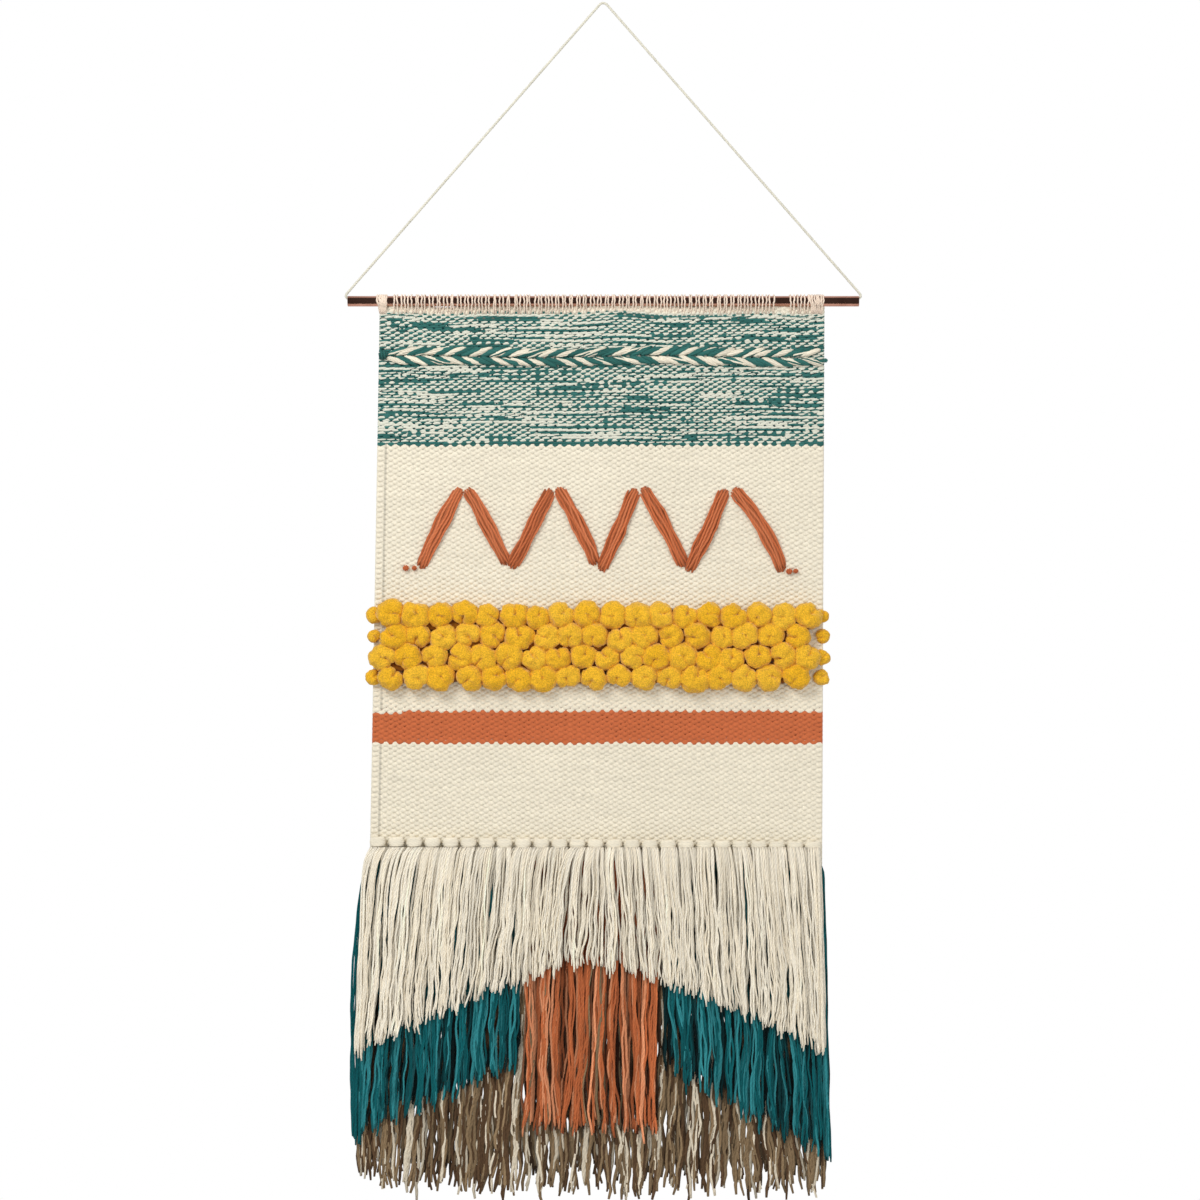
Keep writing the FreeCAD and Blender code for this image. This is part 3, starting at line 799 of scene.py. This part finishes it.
def loops_over_tube(name, node, radius, lean, seed, bundle=None):
    """Warp ends that leave the heading, go over the tube and come back down behind it.

    bundle is the x range over the tube, the x range at the heading and the number of ends, for the dense
    bundle at either side.
    """
    rng = default_rng(seed)
    centres = np.array([middle(solid)[0] for solid in solids_of(node)])
    if bundle:
        top, foot, ends = bundle
        centres, feet = np.linspace(*top, ends), np.linspace(*foot, ends)
    else:
        centres = np.arange(centres[0], centres[-1], LOOP_PITCH)
        centres = centres[(centres < BARE_GAP[0]) | (centres > BARE_GAP[1])]
        centres = centres + rng.normal(0, 0.45, len(centres))
        feet = centres
    count = len(centres)
    angle = np.radians(np.linspace(-52, 232, 21))
    over = np.stack([-np.cos(angle), np.sin(angle)], axis=1) * LOOP_RING
    foot_front = np.array([[-0.5, PANEL_TOP - 3.5 - TUBE_Z], [-1.9, PANEL_TOP + 1.5 - TUBE_Z]])
    foot_back = foot_front[::-1] * np.array([-1, 1])
    outline = np.concatenate([foot_front, over, foot_back])
    share = np.linspace(0, 1, len(outline))
    raised = np.clip((outline[:, 1] - foot_front[0, 1]) / 14, 0, 1)
    pair = np.where(np.arange(count) % 2 == 0, 1, -1)
    shift = lean * pair * rng.uniform(0.3, 1.2, count) + rng.normal(0, 0.35, count)
    x = centres[:, None] + shift[:, None] * raised + rng.normal(0, 0.3, (count, 1)) * (share - 0.5)
    x = x + 0.35 * wander(share * 60, count, 16, rng) + (feet - centres)[:, None] * (1 - raised)
    path = np.stack([x, outline[:, 0] + 0 * x, TUBE_Z + outline[:, 1] + 0 * x], axis=-1)
    tone = LOOP_CREAM * (1 + 0.05 * rng.normal(size=(count, 1)))
    yarns = YarnMesh()
    yarns.add(path, radius, radius, tone, facing=np.array([1.0, 0, 0]), sides=7)
    return yarns.build(name, warp_yarn, "warp_cotton", node)


loops = [
    loops_over_tube("warp_loops_yarn", "warp_loops", LOOP_YARN, 0.6, 41),
    loops_over_tube("warp_bundle_left_yarn", "warp_bundle_left", 0.75, 0.25, 42, LEFT_BUNDLE),
    loops_over_tube("warp_bundle_right_yarn", "warp_bundle_right", 0.7, 0.4, 43, RIGHT_BUNDLE),
]


# -------- braid, zigzag and yarn ends

def beside_line(start, end, share, offset):
    """x and z at that share of the way from start to end, and offset to the side of it."""
    along = np.subtract(end, start)
    side = np.array([-along[1], along[0]]) / np.linalg.norm(along)
    return [start[k] + along[k] * share + side[k] * offset for k in (0, 1)]


def float_stitch(yarns, start, end, count, width, rise, radius, colour, rng, bow=0.0, pinch=0.45,
                 groove=0.0):
    """A bundle of parallel yarns that floats over the weave from start to end, both (x, z).

    It stands rise off the weave, bows sideways by bow and narrows to pinch of its width at its ends. groove
    sinks every other yarn and darkens it as painted shade.
    """
    share = np.linspace(0, 1, 13)
    arch = np.sin(math.pi * share)
    spread = np.linspace(-1, 1, count)[:, None]
    place = spread * (width / 2 - radius)
    squeeze = pinch + (1 - pinch) * arch**0.6
    stray = 0.25 + 0.65 * (groove > 0)
    offset = place * squeeze + bow * arch + stray * wander(share * 30, count, 20, rng)
    rounded = 1 - np.sqrt(1 - 0.9 * spread**2)
    cut = pinch * width / 2 * rounded / np.linalg.norm(np.subtract(end, start))
    length = cut + (1 - 2 * cut) * share + rng.normal(0, 0.004, (count, 1))
    x, z = beside_line(start, end, length, offset)
    crown = 1 - 0.35 * spread**2
    sunk = groove * (np.arange(count) % 2)[:, None]
    proud = 0.9 + rise * arch**0.45 * crown - sunk * arch**0.3
    path = surface(x, z, proud)
    thick = radius * (0.75 + 0.25 * arch) * (1 + 0.06 * rng.normal(size=(count, 1)))
    # sunk yarns are darkened as painted shade in the grooves
    tone = np.atleast_2d(colour) * (1 + 0.06 * rng.normal(size=(count, 1))) * (1 - 0.32 * sunk)
    yarns.add(path, thick * 1.05, thick, tone, sides=8)


LEAF_LENGTH = 23.0
LEAF_WIDTH = 5.4
LEAF_SLANT = math.radians(18)
LEAF_INWARD = 1.5  # how far a leaf lies towards the braid's middle from its CAD place
LEAF_YARNS = 4
LEAF_YARN = 1.05
LEAF_RISE = 3.0
CREAM_CHANCES = (0.08, 0.5, 0.8, 1.0)  # for a cream leaf, by the number of teal ones since the last


def make_braid_row(name, node, upward, seed):
    """One row of the chevron braid: slanted leaves in cream or teal, some with both colours."""
    rng = default_rng(seed)
    yarns = YarnMesh()
    since_cream = 0
    for solid in solids_of(node):
        centre = middle(solid)
        slant = LEAF_SLANT + rng.normal(0, 0.05)
        reach = LEAF_LENGTH / 2 * rng.uniform(0.88, 1.08)
        step = np.array([math.cos(slant), upward * math.sin(slant)]) * reach
        middle_x = centre[0] + rng.normal(0, 0.8)
        place = np.array([middle_x, centre[2] - upward * LEAF_INWARD + math.sin(centre[0] / 37)])
        cream = rng.random() < CREAM_CHANCES[min(since_cream, 3)]
        since_cream = 0 if cream else since_cream + 1
        base = CREAM if cream else TEAL + (TEAL_LIGHT - TEAL) * rng.random()
        colours = np.tile(base, (LEAF_YARNS, 1))
        if rng.random() < 0.25:
            colours[rng.integers(LEAF_YARNS)] = TEAL if cream else CREAM
        float_stitch(yarns, place - step, place + step, LEAF_YARNS, LEAF_WIDTH, LEAF_RISE, LEAF_YARN,
                     colours, rng)
    return yarns.build(name, float_yarn, "teal_yarn", node)


KNOB_TURNS = 4


def wound_ball(yarns, centre, radius, yarn_radius, colour):
    """A little knob of yarn wound round and round, as a knotted end looks."""
    share = np.linspace(0.03, 0.97, 20 * KNOB_TURNS)
    polar = math.pi * share
    angle = TURN * KNOB_TURNS * share
    ring = (radius - yarn_radius) * np.sin(polar)
    offset = np.stack([
        (radius - yarn_radius) * -np.cos(polar),
        ring * np.cos(angle) * 0.8,
        ring * np.sin(angle),
    ], axis=1)
    yarns.add((centre + offset)[None], yarn_radius, yarn_radius, colour[None], facing=unit(offset)[None])
    core = np.outer((-0.75, -0.4, 0, 0.4, 0.75), (1, 0, 0)) * radius
    fat = np.array([0.3, 0.75, 0.85, 0.75, 0.3]) * (radius - 0.4 * yarn_radius)
    # the core is coloured darker, as painted shade between the wound turns
    yarns.add((centre + core)[None], fat, 0.8 * fat, colour[None] * 0.8, sides=10)


def make_knobs(name, node, slot, colours):
    yarns = YarnMesh()
    for solid, colour in zip(solids_of(node), colours):
        centre = middle(solid)
        radius = np.ptp(solid, axis=0)[2] / 2
        centre[1] += drape(centre[0], centre[2])
        wound_ball(yarns, centre, radius * 1.1, 0.26 * radius, colour)
    return yarns.build(name, float_yarn, slot, node)


STROKE_WIDTH = 14.5
STROKE_YARNS = 9
STROKE_RISE = 4.2
STROKE_YARN = 1.15
STROKE_PINCH = 0.86  # a stroke's width at its ends, as a share of its full width
STROKE_INSET = 2.2
STROKE_BOWS = (1.0, 0.6, -0.8, 1.2, -0.5, 0.8, -0.6, 4.5)


def stroke_core(yarns, start, end, bow):
    """The yarns inside a stroke, as one filling at half the rust colour, painted shade that shows in its
    grooves.
    """
    share = np.linspace(0.03, 0.97, 15)
    arch = np.sin(math.pi * share)
    x, z = beside_line(start, end, share, bow * arch)
    squeeze = STROKE_PINCH + (1 - STROKE_PINCH) * arch**0.6
    wide = (STROKE_WIDTH / 2 - 0.9) * squeeze * np.minimum(1, (arch / 0.2) ** 0.5)
    path = surface(x, z, 0.6 + 1.6 * arch**0.45)
    yarns.add(path[None], wide, 0.5 + 2.0 * arch**0.45, FLOAT_RUST[None] * 0.5, sides=14)


def make_zigzag():
    made = []
    for number, bow in enumerate(STROKE_BOWS, 1):
        node = "zigzag_stroke_%d" % number
        rng = default_rng(60 + number)
        low, high = box_mm(node)
        rising = number % 2 == 1
        start = (low[0] + STROKE_INSET, low[2] if rising else high[2])
        end = (high[0] - STROKE_INSET, high[2] if rising else low[2])
        yarns = YarnMesh()
        colour = FLOAT_RUST + (FLOAT_RUST_LIGHT - FLOAT_RUST) * rng.random((STROKE_YARNS, 1))
        stroke_core(yarns, start, end, bow)
        float_stitch(yarns, start, end, STROKE_YARNS, STROKE_WIDTH, STROKE_RISE, STROKE_YARN, colour, rng,
                     bow, STROKE_PINCH, groove=1.0)
        made.append(yarns.build("zigzag_yarn_%d" % number, float_yarn, "rust_yarn", node))
    tails = len(solids_of("zigzag_tails"))
    made.append(make_knobs("zigzag_tail_yarn", "zigzag_tails", "rust_yarn", [FLOAT_RUST] * tails))
    return made


surface_pieces = [
    make_braid_row("braid_leaves_upper", "braid_upper_row", 1, 51),
    make_braid_row("braid_leaves_lower", "braid_lower_row", -1, 52),
    make_knobs("braid_knots", "braid_end_knots", "teal_yarn", [TEAL, TEAL_LIGHT]),
    *make_zigzag(),
]


# -------- loop pile

EDGE_CURL_FORWARD = -3.2
EDGE_CURL_REACH = 7.8
EDGE_CURL_INWARD = 4.0
CURL_STEPS = 42
CURL_SIDES = 28
PILE_BEHIND = -0.3  # the pile stays this far in front of the cloth's middle plane
UNDER_PILE = (5.4, 3.6)  # half height and half depth of the yarn under the tufts
UNDER_PILE_OFF = 4.8
UNDER_PILE_DROP = -10.3  # a second run of it, between this row of tufts and the next


def felt_lumps(ring):
    return 0.14 * grain(ring, 6.5) + 0.14 * grain(ring + 90, 3.2) + 0.1 * grain(ring + 40, 1.6)


def curl(yarns, centre, reach, rng, rests=None):
    """One tuft: a fat felted yarn that winds in on itself and leaves a dimple in its middle."""
    share = np.linspace(0, 1, CURL_STEPS)
    first = rng.uniform(0, TURN)
    way = rng.choice([-1, 1])
    angle = first + way * share * math.radians(rng.uniform(370, 430))
    ring = reach * (rng.uniform(0.4, 0.46) - 0.2 * share**2)
    path = np.stack([
        centre[0] + ring * np.cos(angle) * rng.uniform(1.0, 1.1),
        centre[1] + 1.2 + 1.6 * share**2 + 0.9 * np.sin(angle + first),
        centre[2] + ring * np.sin(angle) * 0.92,
    ], axis=1)
    length = np.linalg.norm(np.diff(path, axis=0), axis=1).sum()
    fat = reach * rng.uniform(0.66, 0.74) * (1 - 0.1 * share)
    to_end = np.minimum(share, 1 - share) * length
    rounded = np.sqrt(np.clip(1 - np.clip(1 - to_end / fat, 0, 1) ** 2, 0.02, 1))
    tone = YELLOW + (YELLOW_PALE - YELLOW) * rng.random() * 0.7
    yarns.add(path[None], fat * rounded, fat * rounded, tone[None], sides=CURL_SIDES, lumps=felt_lumps,
              rests=rests)


def under_pile(yarns, solids, levels, rng):
    """The same yarn where it runs from tuft to tuft along the row, coloured darker as painted shade under the
    tufts.
    """
    first, last = middle(solids[0]), middle(solids[-1])
    x = first[0] + (last[0] - first[0]) * np.linspace(0, 1, 160)
    for level in levels:
        z = first[2] + level + 0.8 * wander(x, 1, 26, rng)[0]
        path = np.stack([x, drape(x, z) - UNDER_PILE_OFF + 0.8 * wander(x, 1, 19, rng)[0], z], axis=1)
        yarns.add(path[None], *UNDER_PILE, YELLOW_PAINTED_SHADE[None], sides=10, lumps=felt_lumps, rests=PILE_BEHIND)


def make_pile():
    made = []
    for row in range(1, 5):
        node = "pile_row_%d" % row
        rng = default_rng(70 + row)
        yarns = YarnMesh()
        solids = solids_of(node)
        under_pile(yarns, solids, (0, UNDER_PILE_DROP) if row < 4 else (0,), rng)
        for solid in solids:
            place = middle(solid) + rng.normal(0, (0.8, 0.3, 0.7))
            curl(yarns, place, np.ptp(solid[:, 0]) / 2 * rng.uniform(1.08, 1.22), rng, PILE_BEHIND)
        made.append(yarns.build("pile_curls_%d" % row, felt_yarn, "yellow_yarn", node))
    for side, inward in (("left", EDGE_CURL_INWARD), ("right", -EDGE_CURL_INWARD)):
        node = "pile_edge_loops_" + side
        rng = default_rng(75 + len(side))
        yarns = YarnMesh()
        for solid in solids_of(node):
            turned = middle(solid) + (inward, EDGE_CURL_FORWARD, 0)
            curl(yarns, turned, EDGE_CURL_REACH * rng.uniform(0.85, 1.1), rng)
        made.append(yarns.build("pile_curls_" + side, felt_yarn, "yellow_yarn", node))
    return made


surface_pieces += make_pile()


# -------- knots and fringe

def wrapped_knots(name, node, slot, colour, yarn_radius, seed):
    """Cow hitches: each head is a few turns of yarn side by side round the strands."""
    rng = default_rng(seed)
    yarns = YarnMesh()
    for solid in solids_of(node):
        low, high = corners_of(solid)
        centre, half = (low + high) / 2, (high - low) / 2
        turns = max(3, round(2 * half[2] / (1.05 * yarn_radius)))
        angle = np.linspace(0, TURN, 19)
        heights = np.linspace(high[2] - yarn_radius, low[2] + yarn_radius, turns)
        width = half[0] * (1 - 0.12 * np.linspace(-1, 1, turns) ** 2)[:, None] - 0.5 * yarn_radius
        sag = 0.4 * np.cos(angle) * rng.normal(0.3, 0.4, (turns, 1))
        path = np.stack([
            centre[0] + width * np.cos(angle) + rng.normal(0, 0.3),
            centre[1] - (half[1] - 0.6 * yarn_radius) * np.sin(angle) + 0 * width,
            heights[:, None] + sag,
        ], axis=-1)
        facing = np.stack([np.cos(angle), -np.sin(angle), 0 * angle], axis=-1)
        tone = colour * (1 + 0.03 * rng.normal(size=(turns, 1)))
        yarns.add(path, yarn_radius * 1.05, yarn_radius, tone, facing=facing[None], sides=8)
        core = np.stack([np.linspace(low[0] + 1, high[0] - 1, 7), np.full(7, centre[1]),
                         np.full(7, centre[2])], axis=1)
        fat = half[2] * 0.86 * np.sqrt(np.clip(1 - np.linspace(-0.98, 0.98, 7) ** 6, 0.1, 1))
        # the core is coloured darker, as painted shade between the turns
        yarns.add(core[None], fat, (half[1] - yarn_radius) * 0.98, colour[None] * 0.85, sides=12)
    return yarns.build(name, weft_yarn, slot, node)


def tassel_facts(solid):
    """Where a tassel starts and ends, and how wide it is at both ends, from its CAD solid."""
    low, high = corners_of(solid)
    top = solid[solid[:, 2] > high[2] - 3]
    tip = solid[solid[:, 2] < low[2] + 3]
    return {
        "top": middle(top)[0],
        "tip": middle(tip)[0],
        "top_z": high[2],
        "tip_z": low[2],
        "y": middle(solid)[1],
        "deep": (high[1] - low[1]) / 2,
    }


LOCKS = 2  # how many locks a tassel's outer strands gather into
OUTER_UNTIL = 0.1  # layers run from -1 in front to 1 at the back; the outer strands end here
INNER_ROOT_HALF = 8.6
TIP_OVERLAP = 0.56  # half a tassel's spread at its tip, as a share of the gap to the next tip
WIDEST_TIP = 15
SWEEP_REACH = 30
LEFT_LIMIT = -238  # beyond the limits at either side the strands crowd together
LEFT_CROWD, RIGHT_CROWD = 0.55, 0.65
# the layer from which strands deeper in a tier are darkened as painted shade
SHADE_FROM = 0.55


def strand_paths(facts, look, rng):
    """The path, layer and way down of every strand in a tier, tassel by tassel."""
    each = look["yarns"]
    count = len(facts) * each
    apart = np.abs(np.diff([fact["tip"] for fact in facts]))
    for fact, gap in zip(facts, np.maximum(np.append(apart, 0), np.append(0, apart))):
        fact["tip_half"] = np.clip(TIP_OVERLAP * gap, look["tip_half"], WIDEST_TIP)

    def per_yarn(key):
        return np.repeat([fact[key] for fact in facts], each)[:, None]

    share = np.linspace(0, 1, look["steps"])
    across = np.tile(np.linspace(-1, 1, each), len(facts))[:, None]
    layer = rng.uniform(-1, 1, (count, 1))
    lock = np.clip(np.floor((across + 1) / 2 * LOCKS), 0, LOCKS - 1)
    lock_middle = (lock + 0.5) / LOCKS * 2 - 1 + rng.normal(0, 0.1, (count, 1))
    outer = layer < OUTER_UNTIL
    gather = np.where(outer, look["gather"], 0)
    mixed = across + (lock_middle - across) * gather + rng.normal(0, 0.12, (count, 1))
    top_z = per_yarn("top_z")
    tip_z = per_yarn("tip_z") + rng.normal(0, 1, (count, 1)) * look["ragged"] + look["ragged"]
    tip_z = tip_z + np.where(outer, 0, look["inner_short"])
    z = top_z + look["tuck"] + (tip_z - top_z - look["tuck"]) * share
    below = top_z - z
    lean = np.repeat(wander(share * 300, len(facts), 420, rng), each, axis=0)
    start = per_yarn("top") + across * np.where(outer, look["top_half"], INNER_ROOT_HALF)
    finish = per_yarn("tip") + mixed * per_yarn("tip_half")
    clump = np.repeat(rng.normal(0, look["clump"], len(facts)), each)[:, None]
    x = start + (finish + clump * outer - start) * share**0.6
    stray = wander(below, count, look["wave"], rng) * look["stray"] * share**0.5
    x = x + lean * look["lean"] * share * outer + stray
    sweep = look["sweep"] * rng.normal(0.3, 0.6, len(facts))
    sweep[:3] = look["sweep"]
    swept = below / SWEEP_REACH * np.exp(1 - below / SWEEP_REACH)
    x = x - np.repeat(sweep, each)[:, None] * outer * swept
    past_right, past_left = np.maximum(x - look["right_limit"], 0), np.maximum(LEFT_LIMIT - x, 0)
    x = x - RIGHT_CROWD * past_right + LEFT_CROWD * past_left
    for number in look["wisps"]:
        x[number] -= WISP_OUT * rng.uniform(0.5, 1.0) * np.sin(math.pi * share**0.8)
        layer[number] = -1
    y = per_yarn("y") + layer * (per_yarn("deep") - look["radius"]) * np.clip(share * 6, 0.35, 1)
    y = y + 0.6 * wander(below, count, look["wave"], rng) * share
    return np.stack([x, y, z], axis=-1), layer, below


def make_fringe(name, node, tier, slot, look):
    """A tier's tassels as single yarns. look holds their number, size, colours and how they stray."""
    rng = default_rng(look["seed"])
    facts = [tassel_facts(solid) for solid in solids_of(node)]
    path, layer, below = strand_paths(facts, look, rng)
    count = len(path)
    pick = rng.choice(len(look["colours"]), count, p=look["chances"])
    # strands deeper in a tier are darkened as painted shade
    lit = look["inner"] + (1 - look["inner"]) * np.clip((SHADE_FROM - layer) / look["ramp"], 0, 1)
    tone = np.array(look["colours"])[pick] * (1 + look["vary"] * rng.normal(size=(count, 1))) * lit
    tone = tone[:, None] * (0.94 + 0.06 * wander(below, count, 120, rng))[..., None]
    thick = look["radius"] * (1 + 0.1 * rng.normal(size=(count, 1))) * np.ones_like(below)
    thick[:, 0] *= 0.6
    thick[:, -1] *= 0.7
    yarns = YarnMesh()
    yarns.add(path, thick, thick, np.clip(tone, 0, 1), sides=look["sides"])
    piece = yarns.build(name, fringe_yarn, slot, node, body=None)
    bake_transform(piece)
    return piece


WISP_OUT = 6  # how far the loose yarns at the left edge bow out
FRONT_LOOK = dict(
    seed=81, yarns=24, radius=1.0, steps=32, sides=5, top_half=7.2, tip_half=9.8, tuck=5.0,
    clump=1.0, gather=0.42, lean=3.0, wave=70, stray=1.4, ragged=4.0, sweep=2.2, wisps=(),
    right_limit=213, inner=0.68, inner_short=5, ramp=0.7, vary=0.07,
    colours=[CREAM_LIT, CREAM_LIT_WARM], chances=[0.5, 0.5],
)
MIDDLE_LOOK = dict(
    seed=82, yarns=26, radius=1.25, steps=46, sides=6, top_half=8.4, tip_half=9.8, tuck=5.0,
    clump=1.0, gather=0.62, lean=3.5, wave=95, stray=1.8, ragged=6.0, sweep=0, wisps=(0, 1, 3),
    right_limit=220, inner=0.04, inner_short=8, ramp=1.1, vary=0.12,
    colours=[FRINGE_TEAL, FRINGE_TEAL_LIGHT], chances=[0.6, 0.4],
)
RIGHT_LOOK = {**MIDDLE_LOOK, "seed": 84, "wisps": ()}
RUST_LOOK = {
    **RIGHT_LOOK, "seed": 83, "colours": [FRINGE_RUST, FRINGE_RUST_LIGHT, TAUPE],
    "chances": [0.56, 0.4, 0.04],
}
BACK_LOOK = dict(
    seed=85, yarns=24, radius=1.7, steps=33, sides=5, top_half=8.6, tip_half=9.8, tuck=4.0,
    clump=1.0, gather=0.4, lean=3.5, wave=80, stray=2.4, ragged=7.0, sweep=0, wisps=(),
    right_limit=218, inner=0.3, inner_short=20, ramp=0.8, vary=0.12,
    colours=[TAUPE, BROWN, BEIGE], chances=[0.46, 0.3, 0.24],
)

KNOTS = (
    ("front_knot_turns", "front_knots", "cream_yarn", CREAM, 1.7, 91),
    ("teal_knot_turns_left", "teal_knots_left", "teal_yarn", TEAL, 0.9, 94),
    ("rust_knot_turns", "rust_knots_centre", "rust_yarn", RUST, 0.9, 95),
    ("teal_knot_turns_right", "teal_knots_right", "teal_yarn", TEAL, 0.9, 96),
    ("back_knot_turns", "back_knots", "taupe_yarn", TAUPE, 1.2, 97),
)
FRINGE = (
    ("front_strands", "front_fringe", "front_tier", "cream_yarn", FRONT_LOOK),
    ("teal_strands_left", "teal_fringe_left", "middle_tier", "teal_yarn", MIDDLE_LOOK),
    ("rust_strands", "rust_fringe_centre", "middle_tier", "rust_yarn", RUST_LOOK),
    ("teal_strands_right", "teal_fringe_right", "middle_tier", "teal_yarn", RIGHT_LOOK),
    ("back_strands", "back_fringe", "back_tier", "taupe_yarn", BACK_LOOK),
)
knots = [wrapped_knots(*facts) for facts in KNOTS]
fringe = [make_fringe(*facts) for facts in FRINGE]
